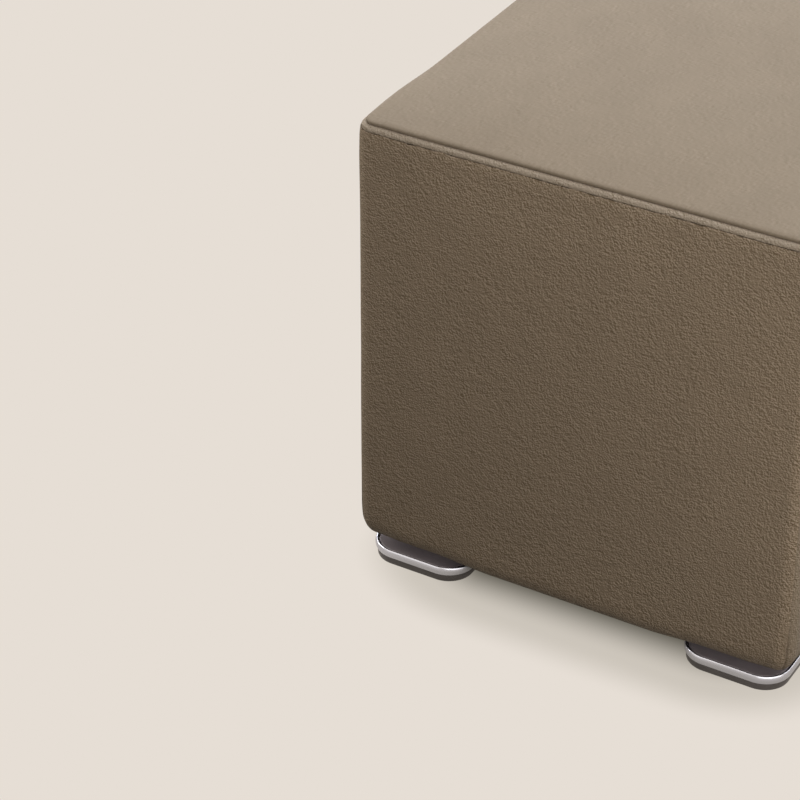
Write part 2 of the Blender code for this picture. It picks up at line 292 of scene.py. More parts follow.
def satin_metal():
    """Brushed steel: brush lines stretched flat round the foot, with patches that are a little duller."""
    made, tree, shader = new_material("satin metal", 0.26, metallic=1.0)
    at = object_coordinates(tree)
    flat = add_node(tree, "ShaderNodeMapping", {"Vector": at, "Scale": (90.0, 90.0, 5200.0)})
    brush = add_node(
        tree,
        "ShaderNodeTexNoise",
        {"Vector": flat.outputs["Vector"], "Scale": 1.0, "Detail": 3.0},
    )
    patch = add_node(tree, "ShaderNodeTexNoise", {"Vector": at, "Scale": 45.0, "Detail": 4.0})
    colour = blend_colours(tree, patch.outputs["Fac"], BAND_METAL, BAND_METAL_DULL)
    tree.links.new(colour, shader.inputs["Base Color"])
    gloss = add_node(
        tree,
        "ShaderNodeMapRange",
        {"Value": patch.outputs["Fac"], "To Min": 0.20, "To Max": 0.36},
    )
    tree.links.new(gloss.outputs["Result"], shader.inputs["Roughness"])
    bump = add_node(tree, "ShaderNodeBump", {"Height": brush.outputs["Fac"], "Distance": 0.00003})
    tree.links.new(bump.outputs["Normal"], shader.inputs["Normal"])
    return made


band_material = satin_metal()
for foot, (middle_x, middle_y) in FOOT_PLACES.items():
    loops = swept_loops(FOOT_WIDTH / 2, FOOT_RADIUS, BAND_PROFILE, CORNER_STEPS, SIDE_STEPS)
    loops = loops + np.array([middle_x, middle_y, 0.0])
    rows, columns = loops.shape[:2]
    node = f"foot_{foot}_band"
    band = new_piece(f"{node}_sleeve", loops, grid_quads(rows, columns, wrap_rows=True), band_material)
    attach(band, "root")
    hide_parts(node)


# ---- Side panels -----------------------------------------------------------------------------
# Four panels of brushed microfibre, stretched tight over foam and a frame, joined at the upright
# corners, turned under at the bottom and tucked in below the welt. The seam round the top pulls
# their upper edge in and down between the corners, and the bottom edge hangs lower between feet.

HALF = 0.210  # half the body's width over the upright corners
CORNER_RADIUS = 0.0165
STRAIGHT = HALF - CORNER_RADIUS
UNDERSIDE_Z = 0.024
SEAM_Z = 0.4375
SEAM_PULL_IN = 0.0021
SEAM_PULL_DOWN = 0.0012
PULL_STARTS = 0.055  # from the corner along an edge
PULL_ENDS = 0.128
PULL_REACH = 0.070  # how far below the seam the pull shows
CORNER_PINCH = 0.0006
PINCH_REACH = 0.030
PANEL_BULGE = 0.0025
CORNER_DRAW = 0.0010  # how far the corners are drawn in above mid height,
CORNER_FILL = 0.0005  # filled out below it,
CORNER_TUCK = 0.0014  # and tucked in at their foot,
TUCK_REACH = 0.034  # up to this height above the underside
BOTTOM_ROLL_IN = 0.012
BOTTOM_ROLL_UP = 0.020
BOTTOM_SAG = 0.0018
BOTTOM_BELLY = 0.0016
SAG_STARTS = 0.075
SAG_ENDS = 0.135
SAG_REACH = 0.080
LIP_DROP = 0.0060  # seam level to the panel's upper edge, tucked in under the welt
LIP_DEPTH = 0.0014  # half width and half height of the ellipse along which it curls in there
LIP_HEIGHT = 0.0085
LIP_TURN = math.radians(68)  # along that ellipse to where the curl ends
LIP_END_INSET = 0.0040  # face plane to the hidden end of the curled edge
# Face plane to the hidden back of the padding. It is 0.025 in the solids, so that from below a slot
# is left open here between the panels and the underside board.
PANEL_BACK = 0.0120
FINE_TOP = 0.012  # the height below the lip that has closer rows
UPRIGHT_SEAM_WIDTH = 0.0016
UPRIGHT_SEAM_FADE = 0.004  # below the panel's upper edge it fades over this much
UPRIGHT_SEAM_DEPTH = (0.0002, 0.0014)  # at the top, and low down where the photo shows it
PANEL_STEPS = (20, 158, 1.5)  # round half a corner, along the straight, crowding towards the seam
PANEL_SEED = 31  # of the front panel's unevenness, one more for each panel after it
SEAM_EVEN = 0.004  # so near the seam the small dimples fade, and the two panels' edges meet exactly
SEAM_OPENS = (0.065, 0.030)  # between these heights above the underside it opens
PUCKER_PITCH = 0.0053  # between the stitches in the crease
PUCKER_DRIFT = 0.0011  # how far a stitch strays from its even place
PUCKER_DEPTH = 0.00034
PUCKER_DROP = 0.0032  # the panel's upper edge to where the puckers are deepest
PUCKER_REACH = 0.005
LUMP_HEIGHT = 0.0011
LUMP_REACH = 0.006  # how far below the upper edge the lumps show
PANEL_SLACK = 0.00030
CLOTH_DEEP = (0.166, 0.115, 0.067)
CLOTH_PALE = (0.346, 0.262, 0.179)
SHEEN = 0.06
SIDES_PAINTED_SHEEN_TINT = (0.975, 1.0, 1.03)  # of the left and right panels, a touch cooler than the front: painted sheen, standing in for the greyer sheen that the light gives these sides


def smooth_step(share):
    """0 up to 0, 1 from 1 on, and the cubic 3s² - 2s³ between them."""
    share = np.clip(share, 0.0, 1.0)
    return share * share * (3 - 2 * share)


def seam_pull(along):
    """0 at the corners and 1 along the middle of an edge."""
    return smooth_step((HALF - np.abs(along) - PULL_STARTS) / (PULL_ENDS - PULL_STARTS))


def corner_pinch(along):
    """1 round the corners, fading along an edge."""
    return 1 - smooth_step((STRAIGHT - np.abs(along)) / PINCH_REACH)


def bottom_sag(along):
    """0 over the feet and 1 along the middle of an edge."""
    return smooth_step((HALF - np.abs(along) - SAG_STARTS) / (SAG_ENDS - SAG_STARTS))


def face_stations(arc_steps, line_steps, crowding=1.0):
    """Arc centre or place along a face, and turn, from corner seam to corner seam.

    The turn is 45 degrees times 1 - share**crowding, so that steps can be closer at the seam.
    """
    turn = math.pi / 4 * (1 - np.linspace(0, 1, arc_steps + 1) ** crowding)
    line = np.linspace(-STRAIGHT, STRAIGHT, line_steps + 1)[1:-1]
    along = np.concatenate([np.full(arc_steps + 1, -STRAIGHT), line, np.full(arc_steps + 1, STRAIGHT)])
    turns = np.concatenate([-turn, np.zeros(len(line)), turn[::-1]])
    return along, turns


def side_profile():
    """Inset and height up a side panel: quarter ellipse under, straight face, part ellipse at the lip."""
    under = np.linspace(math.pi / 2, 0, 15)
    lip = np.linspace(0, LIP_TURN, 13)
    crease = SEAM_Z - LIP_DROP
    top = crease - LIP_HEIGHT * math.sin(LIP_TURN)
    foot = UNDERSIDE_Z + BOTTOM_ROLL_UP
    plain = np.linspace(foot, top - FINE_TOP, 152)[1:]
    face = np.concatenate([plain, np.linspace(top - FINE_TOP, top, 11)[1:-1]])
    inset = [
        BOTTOM_ROLL_IN * (1 - np.cos(under)),
        np.zeros(len(face)),
        LIP_DEPTH * (1 - np.cos(lip)),
        [LIP_END_INSET],
    ]
    height = [foot - BOTTOM_ROLL_UP * np.sin(under), face, top + LIP_HEIGHT * np.sin(lip), [crease]]
    return np.concatenate(inset), np.concatenate(height)


def unevenness(along, height, seed):
    """Slow rises and dips of hand-stretched cloth: a seeded sum of eight long waves, -1 to 1."""
    draw = np.random.default_rng(seed)
    total = np.zeros(np.broadcast(along, height).shape)
    for wave in range(8):
        angle, phase = draw.uniform(0, 2 * math.pi, 2)
        length = draw.uniform(0.035, 0.16)
        way = along * math.cos(angle) + height * math.sin(angle)
        total += np.sin(2 * math.pi / length * way + phase)
    return total / 8


def pulled_stitches(along, seed):
    """1 where a stitch pulls hardest and 0 between: a cosine, its pitch and strength drifting slowly."""
    drifted = along + PUCKER_DRIFT * unevenness(1.7 * along, 0.0, seed)
    strength = 0.62 + 0.55 * unevenness(2.9 * along, 0.05, seed + 100)
    return strength * (0.5 + 0.5 * np.cos(2 * math.pi * drifted / PUCKER_PITCH))


def lumps(along, seed):
    """Small uneven lumps of a hand-guided seam: the waves of unevenness, made 4 to 18 mm long."""
    return LUMP_HEIGHT * unevenness(9.0 * along, 0.0, seed)


def seam_distance(along, turns):
    """Distance over the cloth from the upright seam: the rest of the arc, then the way along the face."""
    arc = CORNER_RADIUS * (math.pi / 4 - np.abs(turns))
    past_arc = CORNER_RADIUS * math.pi / 4 + STRAIGHT - np.abs(along)
    return np.where(np.abs(along) >= STRAIGHT, arc, past_arc)


def lip_lumps(along, turns, seed):
    """Rise of a side panel's upper edge: its lumps, fading to none at the upright seam."""
    fade = smooth_step(seam_distance(along, turns) / SEAM_EVEN)
    return lumps(along + CORNER_RADIUS * turns, seed + 200) * fade


def side_surface(seed):
    """Points of the front panel's face.

    Each point is the rounded plan's corner centre plus a radius times the direction there. The
    radius is the corner's, less the profile's inset, the seam's pull, the corners' pinch, draw and
    tuck, the upright seam and the puckers, plus the bulge, the belly and the slow unevenness. The
    corners are drawn in above mid height and filled out below it: draw runs from minus fill to
    draw with the height. The height is less the seam's pull and the sag, plus the lip's lumps.
    """
    along, turns = (v[None, :] for v in face_stations(*PANEL_STEPS))
    inset, height = (v[:, None] for v in side_profile())
    crease = SEAM_Z - LIP_DROP
    level = np.clip(2 * (height - UNDERSIDE_Z) / (crease - UNDERSIDE_Z) - 1, -1, 1)
    across = np.abs(along) / STRAIGHT
    bulge = PANEL_BULGE * (1 - across**3) * (1 - np.abs(level) ** 3)
    upper = (1 + level) / 2
    draw = across**6 * (1 - level**2) * (CORNER_DRAW * upper - CORNER_FILL * (1 - upper))
    tuck = CORNER_TUCK * corner_pinch(along) * smooth_step(1 - (height - UNDERSIDE_Z) / TUCK_REACH)
    pull = seam_pull(along) * smooth_step(1 - (crease - height) / PULL_REACH)
    pinch = corner_pinch(along) * smooth_step(1 - (crease - height) / PINCH_REACH)
    sag = bottom_sag(along) * smooth_step(1 - (height - UNDERSIDE_Z) / SAG_REACH)
    from_seam = seam_distance(along, turns)
    opened = smooth_step((SEAM_OPENS[0] - (height - UNDERSIDE_Z)) / (SEAM_OPENS[0] - SEAM_OPENS[1]))
    depth = UPRIGHT_SEAM_DEPTH[0] + (UPRIGHT_SEAM_DEPTH[1] - UPRIGHT_SEAM_DEPTH[0]) * opened
    below_lip = smooth_step((crease - height) / UPRIGHT_SEAM_FADE)
    seam = depth * smooth_step(1 - from_seam / UPRIGHT_SEAM_WIDTH) * below_lip
    stitch = pulled_stitches(along + CORNER_RADIUS * turns, seed)
    near_crease = smooth_step(1 - np.abs(crease - PUCKER_DROP - height) / PUCKER_REACH)
    even = smooth_step(from_seam / SEAM_EVEN)
    pucker = PUCKER_DEPTH * stitch * near_crease * even
    lump = lip_lumps(along, turns, seed) * smooth_step(1 - (crease - height) / LUMP_REACH)
    slack = PANEL_SLACK * unevenness(along, height, seed) * smooth_step(1.2 - np.abs(level)) * even
    inward = inset + draw + tuck + seam + pucker + SEAM_PULL_IN * pull + CORNER_PINCH * pinch
    radius = CORNER_RADIUS - inward + bulge + BOTTOM_BELLY * sag + slack
    x = along + radius * np.sin(turns)
    y = -(STRAIGHT + radius * np.cos(turns))
    z = height - SEAM_PULL_DOWN * pull - BOTTOM_SAG * sag + lump
    return np.stack(np.broadcast_arrays(x, y, z), axis=-1)


def border(rows, columns):
    """Indices once round the edge of a grid."""
    index = np.arange(rows * columns).reshape(rows, columns)
    return np.concatenate([index[0, :-1], index[:-1, -1], index[-1, :0:-1], index[:0:-1, 0]])


NAP_COARSE = 0.36  # scale of the coarse tufts to that of the fine ones
NAP_RUFFLE = 95.0  # noise cells to the metre, for the patches where the nap is brushed up
NAP_CLOUD = 28.0  # and for the slow clouding


def nap_group():
    """Short brushed nap as a group: tufts' height, their painted light and shade, slow clouding.

    Height is a noise of two sizes. Tone is painted light and shade on the tufts: it is
    0.5 + gain * (height here - height a lean further on), pale on the side facing along the lean as
    if lit from that way and deep on the other. The longer the lean, the less the two heights agree
    and the more the tone only differs at random. The gain is raised and lowered in ruffled patches.
    Cloud is a slow noise.
    """
    group = bpy.data.node_groups.new("brushed nap", "ShaderNodeTree")
    face = group.interface
    face.new_socket(name="Vector", in_out="INPUT", socket_type="NodeSocketVector")
    face.new_socket(name="Lean", in_out="INPUT", socket_type="NodeSocketVector")
    for name, default in (("Scale", 900.0), ("Coarse Share", 0.3), ("Gain", 2.0)):
        face.new_socket(name=name, in_out="INPUT", socket_type="NodeSocketFloat").default_value = default
    for name in ("Height", "Tone", "Cloud"):
        face.new_socket(name=name, in_out="OUTPUT", socket_type="NodeSocketFloat")
    ins = group.nodes.new("NodeGroupInput")
    outs = group.nodes.new("NodeGroupOutput")
    at, lean, scale = ins.outputs["Vector"], ins.outputs["Lean"], ins.outputs["Scale"]
    coarse_share, gain = ins.outputs["Coarse Share"], ins.outputs["Gain"]
    coarse_scale = add_node(group, "ShaderNodeMath", {0: scale, 1: NAP_COARSE}, operation="MULTIPLY")
    brushed = add_node(group, "ShaderNodeTexNoise", {"Vector": at, "Scale": NAP_RUFFLE, "Detail": 2.0})
    ruffled = add_node(
        group,
        "ShaderNodeMapRange",
        {
            "Value": brushed.outputs["Fac"],
            "From Min": 0.33,
            "From Max": 0.67,
            "To Min": 0.45,
            "To Max": 1.55,
        },
    )
    ruffled_gain = add_node(
        group,
        "ShaderNodeMath",
        {0: gain, 1: ruffled.outputs["Result"]},
        operation="MULTIPLY",
    )
    further = add_node(group, "ShaderNodeVectorMath", {0: at, 1: lean}, operation="ADD").outputs[0]
    heights = []
    for point in (at, further):
        fine = add_node(
            group,
            "ShaderNodeTexNoise",
            {"Vector": point, "Scale": scale, "Detail": 2.5, "Distortion": 0.2},
        )
        coarse = add_node(
            group,
            "ShaderNodeTexNoise",
            {"Vector": point, "Scale": coarse_scale.outputs[0], "Detail": 1.0},
        )
        height = add_node(
            group,
            "ShaderNodeMix",
            {0: coarse_share, 2: fine.outputs["Fac"], 3: coarse.outputs["Fac"]},
        )
        heights.append(height.outputs[0])
    # Painted light and shade on the tufts: pale where the height falls along the lean, deep where it rises
    fall = add_node(group, "ShaderNodeMath", {0: heights[0], 1: heights[1]}, operation="SUBTRACT")
    painted_tuft_light = add_node(
        group,
        "ShaderNodeMath",
        {0: fall.outputs[0], 1: ruffled_gain.outputs[0], 2: 0.5},
        operation="MULTIPLY_ADD",
        use_clamp=True,
    )
    slow = add_node(group, "ShaderNodeTexNoise", {"Vector": at, "Scale": NAP_CLOUD, "Detail": 3.0})
    group.links.new(heights[0], outs.inputs["Height"])
    group.links.new(painted_tuft_light.outputs[0], outs.inputs["Tone"])
    group.links.new(slow.outputs["Fac"], outs.inputs["Cloud"])
    return group


brushed_nap = nap_group()


def microfibre(name, lean, scale, coarse, gain, depth, tint=(1, 1, 1), stretch=(1, 1, 1)):
    """Brushed microfibre: a matt nap of fine tufts with painted light and shade, and a soft even sheen.

    Lean is in metres and points the way the tufts' painted light comes from, scale in noise cells to
    the metre, coarse the share of coarse tufts, gain the contrast of a tuft's painted lit and shaded
    sides and depth the height of its bump. The tint multiplies the cloth's two colours, and the
    stretch multiplies the coordinates.
    """
    made, tree, shader = new_material(name, 0.92)
    shader.inputs["Specular IOR Level"].default_value = 0.04
    shader.inputs["Sheen Weight"].default_value = SHEEN
    shader.inputs["Sheen Roughness"].default_value = 0.45
    nap = add_node(tree, "ShaderNodeGroup", node_tree=brushed_nap)
    nap.inputs["Lean"].default_value = lean
    nap.inputs["Scale"].default_value = scale
    nap.inputs["Coarse Share"].default_value = coarse
    nap.inputs["Gain"].default_value = gain
    at = object_coordinates(tree)
    stretched = add_node(tree, "ShaderNodeMapping", {"Vector": at, "Scale": stretch})
    tree.links.new(stretched.outputs["Vector"], nap.inputs["Vector"])
    deep = tuple(part * tinting for part, tinting in zip(CLOTH_DEEP, tint))
    pale = tuple(part * tinting for part, tinting in zip(CLOTH_PALE, tint))
    # The cloth's two colours, blended by the tufts' random tone and their painted light and shade
    grain_and_tuft_shade = blend_colours(tree, nap.outputs["Tone"], deep, pale)
    clouded = add_node(
        tree,
        "ShaderNodeMapRange",
        {
            "Value": nap.outputs["Cloud"],
            "From Min": 0.3,
            "From Max": 0.7,
            "To Min": 0.97,
            "To Max": 1.03,
        },
    )
    shade = add_node(tree, "ShaderNodeVectorMath", {0: grain_and_tuft_shade}, operation="SCALE")
    tree.links.new(clouded.outputs["Result"], shade.inputs["Scale"])
    tree.links.new(shade.outputs["Vector"], shader.inputs["Base Color"])
    matt = add_node(
        tree,
        "ShaderNodeMapRange",
        {"Value": nap.outputs["Tone"], "To Min": 0.98, "To Max": 0.84},
    )
    tree.links.new(matt.outputs["Result"], shader.inputs["Roughness"])
    bump = add_node(tree, "ShaderNodeBump", {"Height": nap.outputs["Height"], "Distance": depth})
    tree.links.new(bump.outputs["Normal"], shader.inputs["Normal"])
    return made


front_back_cloth = microfibre(
    "side cloth, front and back",
    lean=(0.0004, 0.0, 0.0006),
    scale=620.0,
    coarse=0.33,
    gain=6.9,
    depth=0.0013,
)
left_right_cloth = microfibre(
    "side cloth, left and right, with painted sheen",
    lean=(0.0, 0.0004, 0.0006),
    scale=620.0,
    coarse=0.33,
    gain=3.6,
    depth=0.0009,
    tint=SIDES_PAINTED_SHEEN_TINT,
)
for quarter, side in enumerate(("front", "right", "back", "left")):
    face = side_surface(seed=PANEL_SEED + quarter)
    rows, columns = face.shape[:2]
    rim = border(rows, columns)
    edge_points = face.reshape(-1, 3)[rim]
    side_limit = HALF - PANEL_BACK
    hidden_back = np.stack(
        [
            np.clip(edge_points[:, 0], -side_limit, side_limit),
            np.full(len(rim), -side_limit),
            np.clip(edge_points[:, 2], UNDERSIDE_Z, SEAM_Z - LIP_DROP - SEAM_PULL_DOWN),
        ],
        axis=1,
    )
    angle = quarter * math.pi / 2
    cosine, sine = math.cos(angle), math.sin(angle)
    turn = np.array([[cosine, sine, 0], [-sine, cosine, 0], [0, 0, 1]])
    points = np.concatenate([face.reshape(-1, 3), hidden_back]) @ turn
    back_ring = rows * columns + np.arange(len(rim))
    wall = np.stack([rim, np.roll(rim, -1), np.roll(back_ring, -1), back_ring], axis=1)
    quads = np.concatenate([grid_quads(rows, columns, wrap_columns=False), wall])
    cloth = front_back_cloth if side in ("front", "back") else left_right_cloth
    panel = new_piece(f"{side}_panel_cover", points, quads, cloth, [back_ring], 42)
    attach(panel, "root")
    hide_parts(f"{side}_panel")


# ---- Edge welt -------------------------------------------------------------------------------
# A strip of the same cloth rolled over a filler and sewn into the seam all round the top. Its top
# is round, its face nearly upright, and the stitching below pinches its lower edge.

# Painted light: the welt is the same cloth as the panels, made paler and cooler to stand in for the light
# that the top panel's overhanging roll keeps off it.
WELT_PAINTED_LIGHT_TINT = (1.22, 1.31, 1.45)  # set so that the welt looks as pale as it does in the photo
WELT_RADIUS = 0.0038
WELT_INSET = 0.0054  # face plane to its middle
WELT_DROP = 0.0050  # seam level to its middle
WELT_FALL = 0.0009  # its middle to its lower edge
WELT_FULLNESS = 0.00010  # how much its thickness varies
WELT_CLEAR = 0.00015  # least gap from the side panels' lips to its underside
WELT_SQUARENESS = (3.0, 2.4)  # of the lower and upper half: 2 is an ellipse, more is boxier


def body_stations(arc_steps, line_steps):
    """Stations once round the four faces: place along the face, turn there, and the face's number."""
    along, turns = face_stations(arc_steps, line_steps)
    along, turns = along[:-1], turns[:-1]
    face = np.repeat(np.arange(4), len(along))
    return np.tile(along, 4), np.tile(turns, 4), face


def body_points(stations, inset, height):
    """Points round the body: (along, -(straight + radius cos turn)) turned to each face.

    The radius is the corner radius less the inset, the seam's pull and the corners' pinch. The
    arrays broadcast, so a column of insets and heights sweeps a profile round the body.
    """
    along, turns, face = stations
    inward = inset + SEAM_PULL_IN * seam_pull(along) + CORNER_PINCH * corner_pinch(along)
    radius = CORNER_RADIUS - inward
    x = along + radius * np.sin(turns)
    y = -(STRAIGHT + radius * np.cos(turns))
    cosine, sine = np.cos(face * math.pi / 2), np.sin(face * math.pi / 2)
    z = height + 0 * x
    return np.stack(np.broadcast_arrays(x * cosine - y * sine, x * sine + y * cosine, z), axis=-1)


welt_stations = body_stations(12, 290)
around = np.linspace(0, 2 * math.pi, 33)[:-1][:, None]
outward, upward = np.cos(around), np.sin(around)
boxy = np.where(upward < 0, 2 / WELT_SQUARENESS[0], 2 / WELT_SQUARENESS[1])
out_share = np.sign(outward) * np.abs(outward) ** boxy
up_share = np.sign(upward) * np.abs(upward) ** boxy
welt_along = welt_stations[0] + CORNER_RADIUS * welt_stations[1]
pinched = pulled_stitches(welt_along + 0.5 * welt_stations[2], seed=13)
pinch_here = PUCKER_DEPTH * pinched * smooth_step(1 - np.abs(upward + 0.55) / 0.6) * (outward > 0)
fullness = WELT_FULLNESS * unevenness(welt_along * 3.1, welt_stations[2] * 1.7, seed=11)
welt_out = WELT_RADIUS * out_share + fullness - pinch_here
lower_edge = lumps(welt_along + 0.5 * welt_stations[2], seed=17) * (upward < 0) * np.abs(upward)
welt_up = np.where(upward < 0, WELT_FALL, WELT_RADIUS) * up_share + lower_edge
# The underside rests on the lips of the panels, so it is never lower than their lumps
lip_along, lip_turns = face_stations(*PANEL_STEPS)
lip_rise = np.zeros(len(welt_along))
for quarter in range(4):
    here = welt_stations[2] == quarter
    lip = lip_lumps(lip_along, lip_turns, PANEL_SEED + quarter)
    lip_rise[here] = np.interp(welt_along[here], lip_along + CORNER_RADIUS * lip_turns, lip)
lowest = WELT_DROP - LIP_DROP + lip_rise + WELT_CLEAR
welt_up = np.where(upward < 0, np.maximum(welt_up, lowest), welt_up)
welt_points = body_points(
    welt_stations,
    WELT_INSET - welt_out,
    SEAM_Z - WELT_DROP + welt_up - SEAM_PULL_DOWN * seam_pull(welt_stations[0]),
)
welt_cloth = microfibre(
    "welt cloth with painted light",
    lean=(0.0004, 0.0004, 0.0004),
    scale=600.0,
    coarse=0.3,
    gain=3.0,
    depth=0.0006,
    tint=WELT_PAINTED_LIGHT_TINT,
)
rows, columns = welt_points.shape[:2]
welt = new_piece("edge_welt_roll", welt_points, grid_quads(rows, columns, wrap_rows=True), welt_cloth)
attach(welt, "root")
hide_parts("edge_welt")


# ---- Top panel -------------------------------------------------------------------------------
# One square of the same cloth over deep foam. It is crowned, dips a little along the pulled seam,
# and puffs up at its edge where the welt's seam draws it down into a narrow groove.

# Painted sheen: the top is the same cloth as the sides, its colour made greyer and cooler to stand in for the
# sheen that light from above gives its nap.
TOP_PAINTED_SHEEN_TINT = (0.895, 0.943, 1.007)  # set so that the top matches the photo under these lamps
TOP_SLACK = 0.00035
TOP_SLACK_STARTS = 0.03  # in from the shoulder to where the slack is full
EDGE_BLEND = 0.06  # in from the shoulder to where the dome's own height takes over
ROUND_STARTS = 0.85  # share of the way out inside which the rings turn from square to round
CROWN_Z = 0.450
ROLL_INSET = 0.00565  # face plane to the fullest part of the panel's rolled edge
ROLL_RISE = 0.00105  # seam level to that part
ROLL_RUN = 0.0080  # from there in to where the roll would be level
ROLL_HEIGHT = 0.0025
ROLL_SQUARENESS = 2.2  # 2 is an ellipse, more is boxier
ROLL_TURN = math.radians(62.1)  # up the roll to where the dome's slope takes over
UNDERCUT = 0.0026  # half width and half height of the ellipse that the roll's underside follows
UNDERCUT_HEIGHT = 0.0033
CORNER_FALL = 0.0007  # how much flatter the roll is at the corners
CORNER_NEAR = 0.008  # the corners' part from the edges,
CORNER_FAR = 0.036  # and where it has faded
DOME_POWER = 3.5  # 2 is a parabola, more is flatter in the middle
DIP_NEAR = 0.020  # the seam's dip shows fully up to here,
DIP_FAR = 0.130  # and has faded here
UNDERCUT_TURN = math.radians(40)  # along that ellipse to where the cloth lies level over the welt
HIDDEN_INSET = 0.0098  # the panel's hidden edge, behind the welt and clear of it
HIDDEN_DROPS = (0.0062, 0.0048)  # seam level to that edge, which ends above the side panels' padding


def lowered(x, y):
    """How far the seam and the corners draw the panel down at a point.

    The corners' share is a product of one smooth fall-off from each pair of edges. The seam's dip
    is its pull along an edge times a smooth fall-off from that edge, summed for the two pairs.
    """
    near = [smooth_step((CORNER_FAR - HALF + np.abs(v)) / (CORNER_FAR - CORNER_NEAR)) for v in (x, y)]
    dip = [smooth_step((DIP_FAR - HALF + np.abs(v)) / (DIP_FAR - DIP_NEAR)) for v in (x, y)]
    return CORNER_FALL * near[0] * near[1], SEAM_PULL_DOWN * (seam_pull(x) * dip[1] + seam_pull(y) * dip[0])


def dome_height(x, y):
    """Shoulder + dome (1 - |x/reach|^power)(1 - |y/reach|^power), drawn down by corners and seam."""
    corner, dip = lowered(x, y)
    rise = (1 - np.abs(x / DOME_REACH) ** DOME_POWER) * (1 - np.abs(y / DOME_REACH) ** DOME_POWER)
    return SHOULDER_Z + (CROWN_Z - SHOULDER_Z) * rise - corner - dip


roll_power = 2 / ROLL_SQUARENESS
SHOULDER_Z = SEAM_Z + ROLL_RISE + ROLL_HEIGHT * math.sin(ROLL_TURN) ** roll_power
DOME_REACH = HALF - ROLL_INSET - ROLL_RUN * (1 - math.cos(ROLL_TURN) ** roll_power)
top_stations = body_stations(14, 132)
hidden = np.array(HIDDEN_DROPS)[:, None]
under = np.linspace(UNDERCUT_TURN, 0, 9)[:-1, None]
lying = np.linspace(HIDDEN_INSET, ROLL_INSET + UNDERCUT * (1 - math.cos(UNDERCUT_TURN)), 5)[:-1, None]
lying_rise = ROLL_RISE - UNDERCUT_HEIGHT * math.sin(UNDERCUT_TURN)
roll = np.linspace(0, ROLL_TURN, 19)[:, None]
edge_inset = np.concatenate(
    [
        HIDDEN_INSET + 0 * hidden,
        lying,
        ROLL_INSET + UNDERCUT * (1 - np.cos(under)),
        ROLL_INSET + ROLL_RUN * (1 - np.cos(roll) ** roll_power),
    ]
)
edge_z = SEAM_Z + np.concatenate(
    [
        -hidden,
        lying_rise + 0 * lying,
        ROLL_RISE - UNDERCUT_HEIGHT * np.sin(under),
        ROLL_RISE + 0 * roll,
    ]
)
edge = body_points(top_stations, edge_inset, edge_z)
corner, dip = lowered(edge[..., 0], edge[..., 1])
turned = np.concatenate([0 * hidden, 0 * lying, 0 * under, np.sin(roll) ** roll_power])
edge[..., 2] += ROLL_HEIGHT * turned - corner * turned / turned[-1] - dip
edge[0, :, 2] = SEAM_Z - HIDDEN_DROPS[0]

shoulder = edge[-1]
shares = np.concatenate([np.linspace(1.0, 0.90, 9)[1:], np.linspace(0.90, 0.02, 62)[1:]])[:, None]
circle = np.arctan2(shoulder[:, 1], shoulder[:, 0])[None]
roundness = smooth_step((ROUND_STARTS - shares) / ROUND_STARTS)
square_x, square_y = shares * shoulder[None, :, 0], shares * shoulder[None, :, 1]
round_x, round_y = shares * DOME_REACH * np.cos(circle), shares * DOME_REACH * np.sin(circle)
inner_x = square_x + (round_x - square_x) * roundness
inner_y = square_y + (round_y - square_y) * roundness
mismatch = dome_height(shoulder[:, 0], shoulder[:, 1]) - shoulder[:, 2]
inner_z = dome_height(inner_x, inner_y) - mismatch * smooth_step(1 - (1 - shares) * HALF / EDGE_BLEND)
slack_here = TOP_SLACK * smooth_step((1 - shares) * HALF / TOP_SLACK_STARTS)
inner_z += slack_here * unevenness(inner_x, inner_y, seed=5)
inner = np.stack(np.broadcast_arrays(inner_x, inner_y, inner_z), axis=-1)
top_points = np.concatenate([edge, inner])
rows, columns = top_points.shape[:2]
top_cloth = microfibre(
    "top cloth with painted sheen",
    lean=(0.0020, 0.0010, 0.0),
    scale=480.0,
    coarse=0.4,
    gain=0.46,
    depth=0.0002,
    tint=TOP_PAINTED_SHEEN_TINT,
    stretch=(1.0, 0.8, 1.0),
)
top_ends = (range(columns), range((rows - 1) * columns, rows * columns))
top = new_piece("top_panel_cover", top_points, grid_quads(rows, columns), top_cloth, top_ends)
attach(top, "root")
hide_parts("top_panel")


# ---- Studio ----------------------------------------------------------------------------------
# The camera's elevation, azimuth, focal length and place are fitted to the photo. The floor is a
# plain pale sheet that glows evenly. The lamps cast no shade on it: its shade is part of its colour
# and grows with nearness to the stool.

CAMERA_ELEVATION = math.radians(33.4752)
CAMERA_AZIMUTH = math.radians(30.2504)
CAMERA_PLACE = Vector((0.8762, -1.9933, 1.5470))
CAMERA_LENS = 129.877
CAMERA_SENSOR = 36.0
CAMERA_REACH = 60.0
FLOOR_PALE = (0.791, 0.730, 0.665)
FLOOR_HALF = 30.0
# Deep shade under the stool, half shade out to its edge, then open floor: distance from a box under
# the stool, share of light left there. The light eases smoothly from each to the next.
FLOOR_SHADES = ((0.000, 0.10), (0.062, 0.765), (0.110, 1.0))
SHADE_REACH = 0.12
SHADE_WARMTH = 1.1  # the power of the light that dims the floor's blue, so its shade is warmer
SHADE_MIDDLE = (0.0140, 0.0, 0.0)  # of the box under the stool
SHADE_HALF = (0.1070, 0.1609, 0.0)
SHADE_SPREAD = (0.80, 1.0, 0.0)  # below 1 the shade reaches further that way
WALL_GLOW = 0.8  # what the metal mirrors near the horizon
CEILING_GLOW = 1.6  # and overhead

